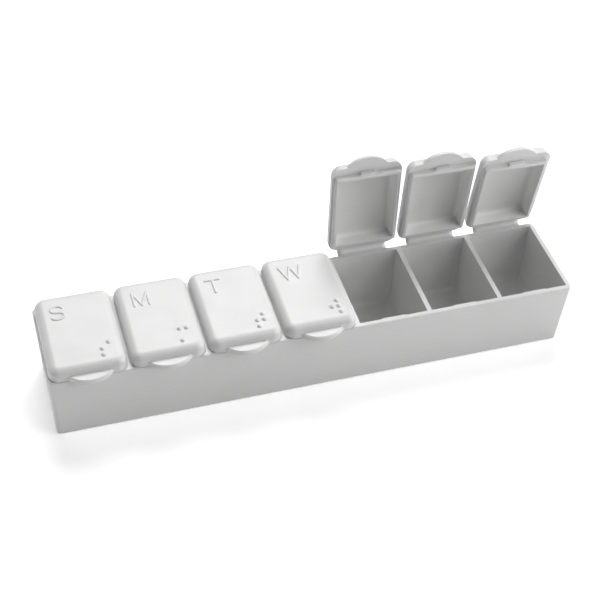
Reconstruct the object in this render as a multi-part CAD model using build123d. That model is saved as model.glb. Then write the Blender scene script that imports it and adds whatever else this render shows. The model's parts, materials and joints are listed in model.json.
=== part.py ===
from build123d import *
import os
from math import radians, tan

# Weekly pill organiser: one long tray with a compartment for each day of the week, and a
# domed lid over each compartment. Every lid hangs on its own living hinge, a thin film
# that runs from the back of the tray to the back of the lid.
#
# Frame: millimetres, +Z up, +X along the row of days, front edge towards -Y.
# The origin is the centre of the tray's flat bottom.

DAYS = ["sunday", "monday", "tuesday", "wednesday", "thursday", "friday", "saturday"]

# How far each lid stands open at rest, in degrees. Zero is shut.
LID_OPEN = {"thursday": 92.0, "friday": 86.0, "saturday": 81.0}

# Tray
PITCH = 22.0              # from one compartment to the next
DIVIDER = 1.4             # wall between two compartments, at the rim
CELL_DEPTH = 27.2         # compartment, front to back, at the rim
LONG_WALL = 1.45          # front and back wall, at the rim
END_WALL = 1.5            # wall at each end of the row, at the rim
RIM_HEIGHT = 22.5         # from the bottom to the rim
FLOOR = 1.5               # thickness of the floor
TRAY_DRAFT = 2.0          # lean of the outer walls, degrees
TRAY_CORNER = 1.4         # outer upright corners, at the rim
FOOT_ROUND = 0.8          # edge between the outer walls and the bottom
RIM_BEVEL = 0.3           # outer edge of the rim
CELL_DRAFT = 0.8          # lean of the compartment walls, degrees
FLOOR_ROUND = 1.5         # edge between the compartment walls and the floor

# Lid
LID_GAP = 0.75            # between neighbouring lids
LID_END_INSET = 0.6       # from the end of the tray to the first and last lid
LID_FRONT_INSET = 0.05    # from the front of the rim to the lid
LID_REAR_LAP = 0.2        # how far a lid reaches past the back of the rim
PARTING = 0.15            # between the rim and a shut lid
LID_HEIGHT = 3.7          # from the lid's flat underside to its top
LID_CORNER = 3.0          # upright corners of the dome
LID_DRAFT = 3.0           # lean of the dome's sides, degrees
LID_ROUND = 2.4           # edge around the top of the dome
LID_ROOF = 1.2            # thickness of the top

# Plug lip, the frame under the lid that enters the compartment
LIP_DEPTH = 1.6           # below the lid's underside
LIP_WALL = 1.05           # thickness of the frame
LIP_CLEARANCE = 0.3       # to the side and back walls of the compartment
LIP_FRONT_CLEARANCE = 1.05  # to the front wall, where the catch is
LIP_CORNER = 0.7          # outer upright corners of the frame
LIP_BEVEL = 0.35          # lead-in around the frame's crest
HOLLOW_DRAFT = 1.5        # lean of the walls of the hollow inside the lid, degrees
HOLLOW_ROUND = 1.35       # edge between its walls and its ceiling

# Thumb tab, a segment of a disc on the front of the lid
TAB_WIDTH = 12.2          # along the lid's front edge
TAB_REACH = 2.9           # in front of the lid
TAB_THICKNESS = 1.45
TAB_BLEND = 0.8           # inner corners where the tab leaves the lid
TAB_BEVEL = 0.4           # upper edge
TAB_ROOT = 1.0            # how far the tab runs into the lid

# Catch: a bar on the lip passes under a bead on the tray's front wall
BAR_LENGTH = 5.0
BAR_HEIGHT = 1.0
BAR_REACH = 0.7           # in front of the lip
BAR_RISE = 0.35           # from the lip's crest up to the bar
BAR_BEVEL = 0.4           # the bar's upright front edges
CATCH_CLEARANCE = 0.1     # between the bar and the bead as they pass
BEAD_LENGTH = 7.0
BEAD_HEIGHT = 0.6         # flat face of the bead, below the rim
BEAD_SLOPE = 0.35         # height of the slope below that face

# Living hinge
FILM = 0.35               # thickness of the film
FILM_WIDTH = 15.2         # along the row
FOLD_RADIUS = 0.7         # middle of the film, folded double in a shut lid
FOLD_REACH = 0.85         # from the ends of the film back to the hinge axis
LAND = 0.4                # ledge behind the tray's back wall that carries the film
LAND_ROOT = 0.95          # thickness of that ledge where it meets the wall
LID_LAND_RISE = 0.3       # slope above and below the film on the lid

NEAR = 0.01               # numbers closer than this count as equal

# Worked out from the values above
CELL_WIDTH = PITCH - DIVIDER
TRAY_LENGTH = (len(DAYS) - 1) * PITCH + CELL_WIDTH + 2 * END_WALL
TRAY_DEPTH = CELL_DEPTH + 2 * LONG_WALL
RIM_FRONT = -TRAY_DEPTH / 2
RIM_REAR = TRAY_DEPTH / 2
LID_FRONT = RIM_FRONT + LID_FRONT_INSET
LID_REAR = RIM_REAR + LID_REAR_LAP
LID_BASE = RIM_HEIGHT + PARTING
LID_TOP = LID_BASE + LID_HEIGHT
LID_HALF_WIDTH = (PITCH - LID_GAP) / 2
END_LID_HALF_WIDTH = CELL_WIDTH / 2 + END_WALL - LID_END_INSET
TAB_SHOULDER = 2 * TAB_BLEND
LIP_HALF_WIDTH = CELL_WIDTH / 2 - LIP_CLEARANCE
LIP_FRONT = -CELL_DEPTH / 2 + LIP_FRONT_CLEARANCE
LIP_REAR = CELL_DEPTH / 2 - LIP_CLEARANCE
LIP_CREST = LID_BASE - LIP_DEPTH
BAR_FRONT = LIP_FRONT - BAR_REACH
BEAD_FACE = BAR_FRONT - CATCH_CLEARANCE
FILM_START = RIM_REAR + LAND
AXIS_Y = FILM_START + FOLD_REACH
AXIS_Z = RIM_HEIGHT + PARTING / 2
LAND_TOP = AXIS_Z - FOLD_RADIUS + FILM / 2


def upright_block(x0, x1, y0, y1, z0, z1):
    """Block with flat sides between two heights."""
    outline = Pos((x0 + x1) / 2, (y0 + y1) / 2, z0) * Rectangle(x1 - x0, y1 - y0)
    return extrude(outline, amount=z1 - z0)


def drafted_block(x0, x1, y0, y1, wide, narrow, lean):
    """Block with this outline at height wide, whose sides lean inwards up or down to narrow."""
    block = upright_block(x0, x1, y0, y1, wide, narrow)
    sides = [face for face in block.faces() if abs(face.normal_at().Z) < NEAR]
    return draft(sides, Plane.XY.offset(wide), lean if narrow > wide else -lean)


def bar_along_row(profile, width):
    """Bar with a (y, z) outline, centred on the row's cross plane."""
    face = make_face(Polyline(*[(0, y, z) for y, z in profile], close=True))
    return extrude(Pos(-width / 2, 0, 0) * face, amount=width, dir=(1, 0, 0))


def bottom_edges(solid):
    return solid.edges().group_by(Axis.Z)[0]


def top_edges(solid):
    return solid.edges().group_by(Axis.Z)[-1]


def upright_edges(solid):
    return solid.edges() - bottom_edges(solid) - top_edges(solid)


def cell_centre(index):
    return (index - (len(DAYS) - 1) / 2) * PITCH


def tray_block():
    """Outer form of the tray: it narrows towards its bottom, with soft edges."""
    x, y = TRAY_LENGTH / 2, TRAY_DEPTH / 2
    block = drafted_block(-x, x, -y, y, RIM_HEIGHT, 0, TRAY_DRAFT)
    block = fillet(upright_edges(block), TRAY_CORNER)
    block = fillet(bottom_edges(block), FOOT_ROUND)
    return chamfer(top_edges(block), RIM_BEVEL)


def cell_space():
    """The room inside one compartment, with a rounded floor."""
    x, y = CELL_WIDTH / 2, CELL_DEPTH / 2
    room = drafted_block(-x, x, -y, y, RIM_HEIGHT, FLOOR, CELL_DRAFT)
    return fillet(bottom_edges(room), FLOOR_ROUND)


def catch_bead():
    """Bead along the middle of a compartment's front wall, flush with the rim."""
    wall = -CELL_DEPTH / 2 - LONG_WALL / 2
    face_bottom = RIM_HEIGHT - BEAD_HEIGHT
    profile = [
        (wall, RIM_HEIGHT),
        (BEAD_FACE, RIM_HEIGHT),
        (BEAD_FACE, face_bottom),
        (wall, face_bottom - BEAD_SLOPE - LONG_WALL / 2),
    ]
    return bar_along_row(profile, BEAD_LENGTH)


def hinge_seat():
    """The step cut into the back of the rim to make room for the folded film."""
    middle = RIM_REAR - LONG_WALL / 2
    profile = [
        (middle, RIM_HEIGHT + PARTING),
        (middle, LAND_TOP),
        (RIM_REAR + LAND, LAND_TOP),
        (RIM_REAR + LAND, RIM_HEIGHT + PARTING),
    ]
    return bar_along_row(profile, FILM_WIDTH)


def hinge_land():
    """The ledge behind the back wall. It thins out to the film at its free end."""
    middle = RIM_REAR - LONG_WALL / 2
    profile = [
        (middle, LAND_TOP),
        (FILM_START, LAND_TOP),
        (FILM_START, LAND_TOP - FILM),
        (middle, LAND_TOP - LAND_ROOT - FILM),
    ]
    return bar_along_row(profile, FILM_WIDTH)


def tray():
    body = tray_block()
    for index in range(len(DAYS)):
        here = Pos(cell_centre(index), 0, 0)
        body -= here * cell_space()
        body += here * catch_bead()
        body -= here * hinge_seat()
        body += here * hinge_land()
    return body


def lid_dome(left, right):
    """Solid dome from x = -left to x = right at its base, with a soft edge around its top."""
    block = drafted_block(-left, right, LID_FRONT, LID_REAR, LID_BASE, LID_TOP, LID_DRAFT)
    block = fillet(upright_edges(block), LID_CORNER)
    return fillet(top_edges(block), LID_ROUND)


def thumb_tab():
    """Segment of a disc, blended into the lid's front edge, its underside flush."""
    radius = (TAB_WIDTH ** 2 / 4 + TAB_REACH ** 2) / (2 * TAB_REACH)
    disc = Pos(0, LID_FRONT - TAB_REACH + radius) * Circle(radius)
    front = Pos(0, LID_FRONT - TAB_REACH) * Rectangle(2 * TAB_WIDTH, 2 * TAB_REACH)
    root_width = TAB_WIDTH + 2 * TAB_SHOULDER
    root = Pos(0, LID_FRONT + TAB_ROOT / 2) * Rectangle(root_width, TAB_ROOT)
    outline = (disc & front) + root
    inner = [v for v in outline.vertices() if abs(abs(v.X) - TAB_WIDTH / 2) < NEAR]
    outline = fillet(inner, TAB_BLEND)
    tab = extrude(Pos(0, 0, LID_BASE) * outline, amount=TAB_THICKNESS)
    rim = [e for e in top_edges(tab) if e.center().Y < LID_FRONT - NEAR]
    return chamfer(rim, TAB_BEVEL)


def plug_lip():
    """Solid block that enters the compartment, before the lid is hollowed."""
    block = upright_block(-LIP_HALF_WIDTH, LIP_HALF_WIDTH, LIP_FRONT, LIP_REAR, LIP_CREST, LID_BASE)
    block = fillet(upright_edges(block), LIP_CORNER)
    return chamfer(bottom_edges(block), LIP_BEVEL)


def lid_hollow():
    """The room inside the lid, from the lip's crest up to the ceiling."""
    half = LIP_HALF_WIDTH - LIP_WALL
    front, rear = LIP_FRONT + LIP_WALL, LIP_REAR - LIP_WALL
    room = drafted_block(-half, half, front, rear, LIP_CREST, LID_TOP - LID_ROOF, HOLLOW_DRAFT)
    return fillet(top_edges(room), HOLLOW_ROUND)


def catch_bar():
    """Short bar along the front of the lip, above its crest."""
    low = LIP_CREST + BAR_RISE
    block = upright_block(-BAR_LENGTH / 2, BAR_LENGTH / 2, BAR_FRONT, LIP_FRONT + BAR_REACH,
                          low, low + BAR_HEIGHT)
    front = [edge for edge in upright_edges(block) if edge.center().Y < LIP_FRONT]
    return chamfer(front, BAR_BEVEL)


def lid_land():
    """The small ledge on the back of the lid that the film grows out of."""
    film_middle = AXIS_Z + FOLD_RADIUS
    low, high = film_middle - FILM / 2, film_middle + FILM / 2
    inside = LID_REAR - LAND
    profile = [
        (inside, low - LID_LAND_RISE),
        (LID_REAR, low - LID_LAND_RISE),
        (FILM_START, low),
        (FILM_START, high),
        (LID_REAR, high + LID_LAND_RISE),
        (inside, high + LID_LAND_RISE),
    ]
    return bar_along_row(profile, FILM_WIDTH)


def lid(index):
    """One shut lid over the cross plane. The end lids reach out over the end walls."""
    left = END_LID_HALF_WIDTH if index == 0 else LID_HALF_WIDTH
    right = END_LID_HALF_WIDTH if index == len(DAYS) - 1 else LID_HALF_WIDTH
    body = lid_dome(left, right) + thumb_tab() + lid_land() + plug_lip()
    return body - lid_hollow() + catch_bar()


def opened(shape, angle):
    """Turn a shut lid about the hinge axis, so that its front edge rises."""
    return shape.rotate(Axis((0, AXIS_Y, AXIS_Z), (1, 0, 0)), -angle)


def hinge_film(angle):
    """The film as it lies between tray and lid, one round bend of even thickness."""
    bend = 180 - angle
    radius = FOLD_RADIUS + FOLD_REACH * tan(radians(angle) / 2)
    centre = (FILM_START, AXIS_Z - FOLD_RADIUS + radius)
    with BuildSketch(Plane.YZ) as profile:
        with BuildLine():
            outer = CenterArc(centre, radius + FILM / 2, -90, bend)
            inner = CenterArc(centre, radius - FILM / 2, -90, bend)
            Line(outer @ 0, inner @ 0)
            Line(outer @ 1, inner @ 1)
        make_face()
    return Pos(-FILM_WIDTH / 2, 0, 0) * extrude(profile.sketch, amount=FILM_WIDTH, dir=(1, 0, 0))


def write(shape, name):
    export_step(shape, "parts/" + name + ".step")


os.makedirs("parts", exist_ok=True)
write(tray(), "tray")
for index, day in enumerate(DAYS):
    here = Pos(cell_centre(index), 0, 0)
    angle = LID_OPEN.get(day, 0.0)
    write(here * opened(lid(index), angle), day + "_lid")
    write(here * hinge_film(angle), day + "_hinge_film")
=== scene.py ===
"""Looks of a weekly pill organiser: seven hollow lids on film hinges along one moulded tray.

Metres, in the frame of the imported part: +X along the row of days, the front towards -Y, +Z up,
the origin under the middle of the tray on the surface it stands on.
"""
import json
import math

import bmesh
import bpy
from mathutils import Matrix, Vector


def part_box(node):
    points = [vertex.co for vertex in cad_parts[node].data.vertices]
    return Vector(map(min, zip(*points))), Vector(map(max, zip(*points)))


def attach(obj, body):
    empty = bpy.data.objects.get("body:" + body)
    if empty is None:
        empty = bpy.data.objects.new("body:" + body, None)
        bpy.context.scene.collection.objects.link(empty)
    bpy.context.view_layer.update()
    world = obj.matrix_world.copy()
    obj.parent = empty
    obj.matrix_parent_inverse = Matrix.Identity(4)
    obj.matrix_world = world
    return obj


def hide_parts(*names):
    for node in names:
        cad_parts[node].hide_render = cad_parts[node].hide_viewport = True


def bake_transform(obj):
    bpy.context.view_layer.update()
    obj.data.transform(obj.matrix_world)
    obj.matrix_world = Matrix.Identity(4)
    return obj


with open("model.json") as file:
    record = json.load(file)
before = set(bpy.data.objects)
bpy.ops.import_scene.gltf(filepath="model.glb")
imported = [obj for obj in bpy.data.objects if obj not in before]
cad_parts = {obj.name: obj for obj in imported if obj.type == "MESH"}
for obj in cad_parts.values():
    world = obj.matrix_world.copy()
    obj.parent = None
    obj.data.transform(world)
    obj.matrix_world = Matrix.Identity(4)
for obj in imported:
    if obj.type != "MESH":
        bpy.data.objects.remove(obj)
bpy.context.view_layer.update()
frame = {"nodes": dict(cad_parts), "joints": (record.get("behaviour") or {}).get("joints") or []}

MM = 0.001

DAYS = ["sunday", "monday", "tuesday", "wednesday", "thursday", "friday", "saturday"]

# White plastic; the colour clouds between two shades of it
PALE = (0.80, 0.80, 0.795)
DEEP = (0.78, 0.78, 0.775)
PLASTIC_IOR = 1.49
# Roughness, radius of the softened edges, strength of the grain
PLASTICS = {
    "tray": (0.42, 0.1 * MM, 0.3),
    "lid": (0.40, 0.1 * MM, 0.3),
    "relief": (0.38, 0.05 * MM, 0.2),
    "film": (0.34, 0.04 * MM, 0.15),
}
ROUGHNESS_SPREAD = 0.05         # to either side of the roughness
EDGE_SAMPLES = 4                # of the node that softens the edges
# Noise: scale, detail, roughness
CLOUDS = (55.0, 3.0, 0.5)       # of the colour
PATCHES = (240.0, 4.0, 0.5)     # of the roughness
WAVES = (190.0, 2.0, 0.5)       # of the surface
GRAIN = (5200.0, 2.0, 0.6)      # of the surface
NOISE_SPAN = (0.3, 0.7)         # the values of a noise that span the whole change it makes
WAVE_STRENGTH = 0.25
WAVE_HEIGHT = 0.02 * MM
GRAIN_HEIGHT = 0.01 * MM

# Lid and hinge, as the part has them
LID_TOP = 26.35 * MM            # flat top of a shut lid
FILM_THICKNESS = 0.35 * MM
FOLD_RADIUS = 0.7 * MM          # middle of the film when its lid is shut
FOLD_REACH = 0.85 * MM          # from the film's ends back to the hinge axis

# The film as it is seen, thinner than the part's along its fold and at its two sides
FILM_WAIST = 0.26 * MM          # thickness in the middle of the fold
FILM_EDGE = 0.55                # share of the thickness that the sides keep
FILM_STEPS = 28                 # round the fold
FILM_CELLS = 12                 # along the row

# Relief on the lids; distances to the back are from the middle of the tray
STROKE_RADIUS = 0.42 * MM       # of the rounded strokes of an initial
STROKE_RISE = 0.34 * MM         # how far a stroke stands out of the lid
STROKE_SIDES = 14
STROKE_END_RINGS = 8
ARC_STEPS = 14
RELIEF_VOXEL = 0.07 * MM
RELAX_SHARE = 0.5
RELAX_PASSES = 3
LETTER_FOOT = 4.95 * MM         # foot of the letters, to the back
DOT_RADIUS = 0.85 * MM          # foot of a braille dot
DOT_RISE = 0.55 * MM
DOT_SUNK = 0.08 * MM            # how far its foot goes into the lid
DOT_FALL = 1.1                  # power of the dot's profile; 1 would be a parabola
DOT_RINGS = 7
DOT_SIDES = 24
DOT_COLUMNS = (4.5 * MM, 6.55 * MM)                     # from the lid's middle, along the row
DOT_ROWS = (-6.75 * MM, -8.95 * MM, -11.25 * MM)        # to the back

# Straight strokes are pairs of (along the row, height) points in mm from the lid's middle and the
# letters' foot; round ones are arcs: centre, radii, first and last angle in degrees.
TALL = 5.1                      # height of the letters
LETTERS = {
    "M": {"strokes": [[(-5.75, 0), (-5.75, TALL)], [(-5.75, TALL), (-3.6, 0)],
                      [(-3.6, 0), (-1.45, TALL)], [(-1.45, TALL), (-1.45, 0)]]},
    "T": {"strokes": [[(-6.2, TALL), (-2.1, TALL)], [(-4.15, TALL), (-4.15, 0)]]},
    "W": {"strokes": [[(-6.2, TALL), (-4.55, 0)], [(-4.55, 0), (-2.95, TALL)],
                      [(-2.95, TALL), (-1.35, 0)], [(-1.35, 0), (0.1, TALL)]]},
    "F": {"strokes": [[(-5.9, TALL), (-5.9, 0)], [(-5.9, TALL), (-2.6, TALL)],
                      [(-5.9, 0.52 * TALL), (-3.1, 0.52 * TALL)]]},
    "S": {"arcs": [(-5.3, 0.76 * TALL, 1.75, 0.24 * TALL, 25, 270),
                   (-5.3, 0.26 * TALL, 1.9, 0.26 * TALL, 90, -155)]},
}
# Standard braille cells: 1 2 3 down the left column, 4 5 6 down the right one
BRAILLE = {"S": (2, 3, 4), "M": (1, 3, 4), "T": (2, 3, 4, 5), "W": (2, 4, 5, 6), "F": (1, 2, 4)}

# Camera: it looks at the target from the azimuth and elevation, turned by the roll (degrees)
CAMERA_TARGET = Vector((4.974, 21.251, 0.0)) * MM
CAMERA_DISTANCE = 416.456 * MM
CAMERA_AZIMUTH = -18.745
CAMERA_ELEVATION = 44.629
CAMERA_ROLL = 3.253
CAMERA_LENS = 79.407            # mm, for the sensor below
CAMERA_SENSOR = 36.0            # mm
CAMERA_NEAR = 0.01
CAMERA_FAR = 20.0

# Softboxes: azimuth, elevation, distance, side of the square, watts
LAMPS = {
    "back": (166, 57, 0.9, 0.5, 5.9),
    "over": (0, 88, 0.9, 0.5, 0.2),
    "front": (50, 45, 0.9, 0.5, 2.2),
    "right": (72, 14, 0.7, 0.3, 1.9),
    "left": (-82, 10, 0.26, 0.12, 0.08),
}
WHITE = (1.0, 1.0, 1.0, 1.0)
WORLD_FILL = 0.01
FLOOR_HALF = 1.6                # half the side of the floor
FLOOR_COLOUR = (0.95, 0.95, 0.95)
FLOOR_ROUGHNESS = 0.9
# Glow added to the floor only where it is seen; it rises with the distance from the middle (m)
FLOOR_GLOW = {"near": 0.45, "far": 1.0}
FLOOR_GLOW_REACH = {"near": 0.2, "far": 1.1}

joint_of = {joint["child"]: joint for joint in frame["joints"]}


# ---------------------------------------------------------------- materials

def node_of(tree, kind, **values):
    """A new node with some of its properties set."""
    node = tree.nodes.new(kind)
    for name, value in values.items():
        setattr(node, name, value)
    return node


def noise(tree, coordinates, scale, detail, roughness):
    node = node_of(tree, "ShaderNodeTexNoise")
    node.inputs["Scale"].default_value = scale
    node.inputs["Detail"].default_value = detail
    node.inputs["Roughness"].default_value = roughness
    tree.links.new(coordinates, node.inputs["Vector"])
    return node.outputs["Fac"]


def spread(tree, value, before, after, **settings):
    """Maps a value from one (low, high) span to another."""
    node = node_of(tree, "ShaderNodeMapRange", **settings)
    node.inputs["From Min"].default_value = before[0]
    node.inputs["From Max"].default_value = before[1]
    node.inputs["To Min"].default_value = after[0]
    node.inputs["To Max"].default_value = after[1]
    tree.links.new(value, node.inputs["Value"])
    return node.outputs["Result"]


def bumps(tree, height, normal, strength, distance):
    node = node_of(tree, "ShaderNodeBump")
    node.inputs["Strength"].default_value = strength
    node.inputs["Distance"].default_value = distance
    tree.links.new(height, node.inputs["Height"])
    tree.links.new(normal, node.inputs["Normal"])
    return node.outputs["Normal"]


def moulded_plastic(name, roughness, soft_edge, grain):
    """Moulded polypropylene: faint clouding in the colour, a fine spark grain, softened edges."""
    material = bpy.data.materials.new(name)
    material.use_nodes = True
    tree = material.node_tree
    shader = tree.nodes["Principled BSDF"]
    place = node_of(tree, "ShaderNodeTexCoord").outputs["Object"]

    mix = node_of(tree, "ShaderNodeMix", data_type="RGBA")
    mix.inputs["A"].default_value = (*DEEP, 1.0)
    mix.inputs["B"].default_value = (*PALE, 1.0)
    clouds = noise(tree, place, *CLOUDS)
    tree.links.new(spread(tree, clouds, NOISE_SPAN, (0.0, 1.0)), mix.inputs["Factor"])
    tree.links.new(mix.outputs["Result"], shader.inputs["Base Color"])

    patches = noise(tree, place, *PATCHES)
    span = (roughness - ROUGHNESS_SPREAD, roughness + ROUGHNESS_SPREAD)
    tree.links.new(spread(tree, patches, NOISE_SPAN, span), shader.inputs["Roughness"])

    soft = node_of(tree, "ShaderNodeBevel", samples=EDGE_SAMPLES)
    soft.inputs["Radius"].default_value = soft_edge
    waved = bumps(tree, noise(tree, place, *WAVES), soft.outputs["Normal"],
                  WAVE_STRENGTH, WAVE_HEIGHT)
    grained = bumps(tree, noise(tree, place, *GRAIN), waved, grain, GRAIN_HEIGHT)
    tree.links.new(grained, shader.inputs["Normal"])

    shader.inputs["IOR"].default_value = PLASTIC_IOR
    return material


def paint(obj, material):
    obj.data.materials.clear()
    obj.data.materials.append(material)


plastic = {name: moulded_plastic(name + "_plastic", *values) for name, values in PLASTICS.items()}


# ---------------------------------------------------------------- lids

def lid_body(day):
    return day + "_lid"


def lid_middle(day):
    """Where the lid's middle lies along the row."""
    return joint_of[lid_body(day)]["pos_m"][0]


def open_angle(day):
    """How far the lid stands open at rest, in radians."""
    return math.radians(-joint_of[lid_body(day)]["range_deg"][0])


def from_shut(day):
    """Turns a point of the shut lid, in the frame, to where the lid stands at rest."""
    joint = joint_of[lid_body(day)]
    hinge = Matrix.Translation(Vector(joint["pos_m"]))
    turn = Matrix.Rotation(open_angle(day), 4, Vector(joint["axis"]))
    return hinge @ turn @ hinge.inverted()


def initial_of(day):
    return day[0].upper()


def link(obj):
    bpy.context.scene.collection.objects.link(obj)
    return obj


def smooth(mesh):
    for face in mesh.polygons:
        face.use_smooth = True


def mesh_object(name, shape):
    """An object in the scene from a bmesh, which is used up."""
    bmesh.ops.recalc_face_normals(shape, faces=shape.faces)
    mesh = bpy.data.meshes.new(name)
    shape.to_mesh(mesh)
    shape.free()
    smooth(mesh)
    return link(bpy.data.objects.new(name, mesh))


def add_stroke(shape, start, end):
    """A rod with round ends, added to a bmesh."""
    direction = end - start
    turn = direction.to_track_quat("Z", "X").to_matrix().to_4x4()
    middle = Matrix.Translation((start + end) / 2)
    bmesh.ops.create_cone(shape, cap_ends=True, segments=STROKE_SIDES, radius1=STROKE_RADIUS,
                          radius2=STROKE_RADIUS, depth=direction.length, matrix=middle @ turn)
    for point in (start, end):
        bmesh.ops.create_uvsphere(shape, u_segments=STROKE_SIDES, v_segments=STROKE_END_RINGS,
                                  radius=STROKE_RADIUS, matrix=Matrix.Translation(point))


def letter_runs(letter):
    """Straight runs, in mm, that make up an initial; arcs become short runs."""
    runs = [list(stroke) for stroke in LETTERS[letter].get("strokes", [])]
    for x, y, across, up, first, last in LETTERS[letter].get("arcs", []):
        angles = [math.radians(first + (last - first) * i / ARC_STEPS)
                  for i in range(ARC_STEPS + 1)]
        points = [(x + across * math.cos(a), y + up * math.sin(a)) for a in angles]
        runs += [list(pair) for pair in zip(points, points[1:])]
    return runs


def initial(day):
    """The day's initial, raised on the lid's top with round strokes."""
    shape = bmesh.new()
    height = LID_TOP + STROKE_RISE - STROKE_RADIUS
    for run in letter_runs(initial_of(day)):
        start, end = [Vector((lid_middle(day) + x * MM, LETTER_FOOT + y * MM, height))
                      for x, y in run]
        add_stroke(shape, start, end)
    obj = mesh_object(day + "_initial", shape)
    remesh = obj.modifiers.new("one_skin", "REMESH")
    remesh.mode = "VOXEL"
    remesh.voxel_size = RELIEF_VOXEL
    remesh.use_smooth_shade = True
    relax = obj.modifiers.new("relax", "SMOOTH")
    relax.factor = RELAX_SHARE
    relax.iterations = RELAX_PASSES
    return finish_relief(obj, day)


def braille(day):
    """The day's initial in braille, raised dots near the lid's front."""
    shape = bmesh.new()
    angles = [2 * math.pi * i / DOT_SIDES for i in range(DOT_SIDES)]
    for number in BRAILLE[initial_of(day)]:
        column, row = divmod(number - 1, len(DOT_ROWS))
        x = lid_middle(day) + DOT_COLUMNS[column]
        y = DOT_ROWS[row]
        top = shape.verts.new((x, y, LID_TOP + DOT_RISE))
        circles = []
        for ring in range(1, DOT_RINGS + 1):
            share = ring / DOT_RINGS
            radius = DOT_RADIUS * share
            rise = DOT_RISE * (1 - share ** 2) ** DOT_FALL if ring < DOT_RINGS else -DOT_SUNK
            circles.append([shape.verts.new((x + radius * math.cos(a), y + radius * math.sin(a),
                                             LID_TOP + rise)) for a in angles])
        for i in range(DOT_SIDES):
            j = (i + 1) % DOT_SIDES
            shape.faces.new((top, circles[0][i], circles[0][j]))
            for inner, outer in zip(circles, circles[1:]):
                shape.faces.new((inner[i], outer[i], outer[j], inner[j]))
        shape.faces.new(circles[-1][::-1])
    return finish_relief(mesh_object(day + "_braille", shape), day)


def finish_relief(obj, day):
    """Applies the modifiers of relief made on the shut lid, and puts it on the lid at rest."""
    bpy.context.view_layer.update()
    evaluated = obj.evaluated_get(bpy.context.evaluated_depsgraph_get())
    mesh = bpy.data.meshes.new_from_object(evaluated)
    obj.modifiers.clear()
    obj.data = mesh
    obj.data.transform(from_shut(day))
    smooth(obj.data)
    paint(obj, plastic["relief"])
    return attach(obj, lid_body(day))


# ---------------------------------------------------------------- living hinges

def film_outline(day):
    """The middle of the film, from the tray to the lid, and where it ends along the row.

    Each entry is a point, the outward direction there, and the share of the fold that is passed.
    """
    low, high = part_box(day + "_hinge_film")
    angle = open_angle(day)
    bend = math.pi - angle
    radius = FOLD_RADIUS + FOLD_REACH * math.tan(angle / 2)
    centre = Vector((0, low.y, low.z + FILM_THICKNESS / 2 + radius))
    points = []
    for i in range(FILM_STEPS + 1):
        a = -math.pi / 2 + bend * i / FILM_STEPS
        out = Vector((0, math.cos(a), math.sin(a)))
        points.append((centre + out * radius, out, i / FILM_STEPS))
    return points, low.x, high.x


def film(day):
    """The thin web between tray and lid, a little thinner along its fold."""
    points, left, right = film_outline(day)
    shape = bmesh.new()
    rows = []
    for middle, out, share in points:
        waist = math.sin(math.pi * share) ** 2
        half = (FILM_THICKNESS * (1 - waist) + FILM_WAIST * waist) / 2
        loop = []
        for side in (1, -1):
            for i in range(FILM_CELLS + 1):
                along = i / FILM_CELLS if side > 0 else 1 - i / FILM_CELLS
                keep = FILM_EDGE if i in (0, FILM_CELLS) else 1.0
                place = Vector((left + (right - left) * along, 0, 0)) + middle
                loop.append(shape.verts.new(place + out * half * side * keep))
        rows.append(loop)
    for lower, upper in zip(rows, rows[1:]):
        for i in range(len(lower)):
            j = (i + 1) % len(lower)
            shape.faces.new((lower[i], lower[j], upper[j], upper[i]))
    for loop in (rows[0], rows[-1]):
        front, back = loop[:FILM_CELLS + 1], loop[FILM_CELLS + 1:][::-1]
        for i in range(FILM_CELLS):
            shape.faces.new((front[i], front[i + 1], back[i + 1], back[i]))
    obj = mesh_object(day + "_hinge_web", shape)
    paint(obj, plastic["film"])
    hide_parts(day + "_hinge_film")
    middle = Vector(((left + right) / 2, 0, 0))
    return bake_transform(obj)


# ---------------------------------------------------------------- stage, lamps, camera

def seen_directly(tree):
    """1 for rays from the camera and those mirrored or passed on, 0 for rays that carry light."""
    path = node_of(tree, "ShaderNodeLightPath")
    share = path.outputs["Is Camera Ray"]
    for kind in ("Is Glossy Ray", "Is Transmission Ray"):
        either = node_of(tree, "ShaderNodeMath", operation="MAXIMUM")
        tree.links.new(share, either.inputs[0])
        tree.links.new(path.outputs[kind], either.inputs[1])
        share = either.outputs["Value"]
    return share


def as_seen(tree, plain, seen):
    """The plain shader for rays that carry light, and the other one where it is seen."""
    mix = node_of(tree, "ShaderNodeMixShader")
    tree.links.new(seen_directly(tree), mix.inputs[0])
    tree.links.new(plain, mix.inputs[1])
    tree.links.new(seen, mix.inputs[2])
    return mix.outputs["Shader"]


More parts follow.
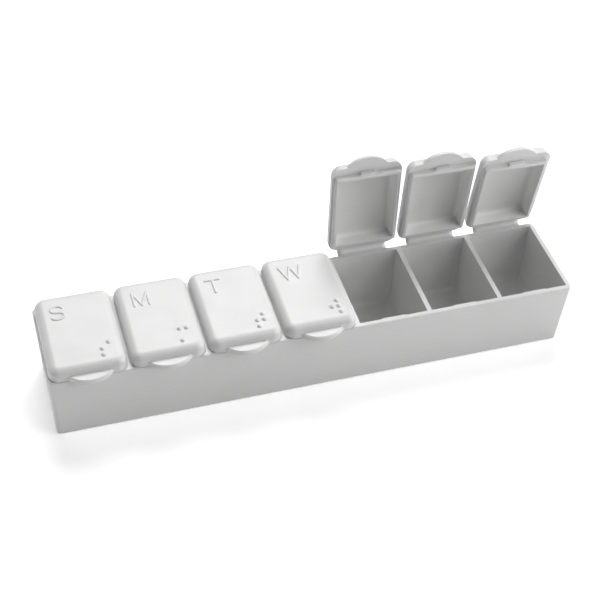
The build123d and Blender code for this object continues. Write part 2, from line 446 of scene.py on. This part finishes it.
def white_floor():
    """Plain table, seen white, which keeps a soft shadow of the object."""
    shape = bmesh.new()
    bmesh.ops.create_grid(shape, x_segments=1, y_segments=1, size=FLOOR_HALF)
    floor = mesh_object("floor", shape)
    material = bpy.data.materials.new("floor_white")
    material.use_nodes = True
    tree = material.node_tree
    shader = tree.nodes["Principled BSDF"]
    shader.inputs["Base Color"].default_value = (*FLOOR_COLOUR, 1.0)
    shader.inputs["Roughness"].default_value = FLOOR_ROUGHNESS
    shader.inputs["Specular IOR Level"].default_value = 0.0
    distance = node_of(tree, "ShaderNodeVectorMath", operation="LENGTH")
    place = node_of(tree, "ShaderNodeTexCoord").outputs["Object"]
    tree.links.new(place, distance.inputs[0])
    strength = spread(tree, distance.outputs["Value"],
                      (FLOOR_GLOW_REACH["near"], FLOOR_GLOW_REACH["far"]),
                      (FLOOR_GLOW["near"], FLOOR_GLOW["far"]), interpolation_type="SMOOTHSTEP")
    glow = node_of(tree, "ShaderNodeEmission")
    tree.links.new(strength, glow.inputs["Strength"])
    both = node_of(tree, "ShaderNodeAddShader")
    tree.links.new(shader.outputs["BSDF"], both.inputs[0])
    tree.links.new(glow.outputs["Emission"], both.inputs[1])
    surface = as_seen(tree, shader.outputs["BSDF"], both.outputs["Shader"])
    tree.links.new(surface, tree.nodes["Material Output"].inputs["Surface"])
    paint(floor, material)


def studio_world():
    """White where it is seen, a faint even fill as light."""
    world = bpy.data.worlds.new("studio")
    bpy.context.scene.world = world
    world.use_nodes = True
    tree = world.node_tree
    fill = tree.nodes["Background"]
    fill.inputs["Color"].default_value = WHITE
    fill.inputs["Strength"].default_value = WORLD_FILL
    white = node_of(tree, "ShaderNodeBackground")
    white.inputs["Color"].default_value = WHITE
    surface = as_seen(tree, fill.outputs["Background"], white.outputs["Background"])
    tree.links.new(surface, tree.nodes["World Output"].inputs["Surface"])


def away_from_middle(azimuth, elevation):
    """Direction from the origin: azimuth 0 is the front, 90 the right, elevation 90 straight up."""
    a, e = math.radians(azimuth), math.radians(elevation)
    return Vector((math.sin(a) * math.cos(e), -math.cos(a) * math.cos(e), math.sin(e)))


def softboxes():
    """Square area lamps that face the origin."""
    for name, (azimuth, elevation, distance, side, watts) in LAMPS.items():
        light = bpy.data.lights.new(name, "AREA")
        light.shape = "SQUARE"
        light.size = side
        light.energy = watts
        lamp = link(bpy.data.objects.new(name, light))
        away = away_from_middle(azimuth, elevation)
        turn = away.to_track_quat("Z", "Y").to_matrix().to_4x4()
        lamp.matrix_world = Matrix.Translation(away * distance) @ turn


def camera():
    """The photograph's view."""
    back = away_from_middle(CAMERA_AZIMUTH, CAMERA_ELEVATION)
    level = (-back).cross(Vector((0.0, 0.0, 1.0))).normalized()
    roll = Matrix.Rotation(math.radians(CAMERA_ROLL), 3, back)
    right = roll @ level
    up = back.cross(right)
    data = bpy.data.cameras.new("camera")
    data.sensor_width = CAMERA_SENSOR
    data.lens = CAMERA_LENS
    data.clip_start = CAMERA_NEAR
    data.clip_end = CAMERA_FAR
    obj = link(bpy.data.objects.new("camera", data))
    turn = Matrix((right, up, back)).transposed().to_4x4()
    obj.matrix_world = Matrix.Translation(CAMERA_TARGET + back * CAMERA_DISTANCE) @ turn
    bpy.context.scene.camera = obj


# ---------------------------------------------------------------- the whole scene

paint(frame["nodes"]["tray"], plastic["tray"])
for day in DAYS:
    paint(frame["nodes"][lid_body(day)], plastic["lid"])
    initial(day)
    braille(day)
    film(day)

white_floor()
studio_world()
softboxes()
camera()
bpy.context.scene.view_settings.view_transform = "Standard"
